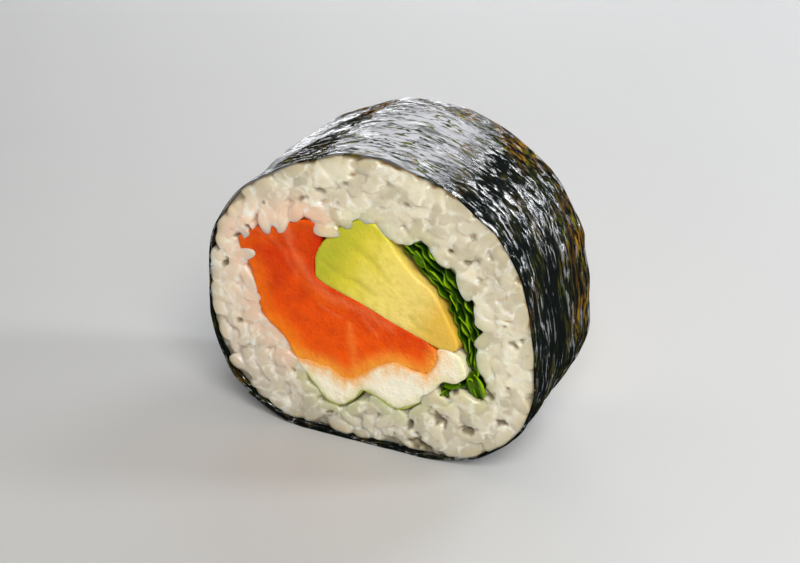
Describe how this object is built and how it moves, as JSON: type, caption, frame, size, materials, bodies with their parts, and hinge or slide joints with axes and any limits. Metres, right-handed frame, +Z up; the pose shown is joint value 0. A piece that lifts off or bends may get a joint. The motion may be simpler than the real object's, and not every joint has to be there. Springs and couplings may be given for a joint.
{
  "type": "futomaki",
  "caption": "Thick cut slice of a large sushi roll: nori round rice, salmon, avocado, cream cheese and lettuce, lying on its side.",
  "frame": {"origin": "under the middle of the slice, at the height of the surface that it lies on", "axes": "+Y runs along the roll's axis from the shown cut face to the far one, +X across the face to its right, +Z up"},
  "size_m": [0.0626, 0.027, 0.056],
  "materials": {
    "nori": "dry seaweed sheet, wrinkled and glossy",
    "rice": "moist, translucent",
    "salmon": "moist raw fish",
    "avocado": "soft and smooth",
    "cream_cheese": "soft, lumpy",
    "lettuce": "crisp leaf",
    "lettuce_strip": "pale, thin leaf"
  },
  "bodies": {
    "root": {"nori": "nori", "rice": "rice", "salmon": "salmon", "avocado": "avocado", "cream_cheese": "cream_cheese", "lettuce": "lettuce", "lettuce_strip": "lettuce_strip"}
  },
  "joints": []
}
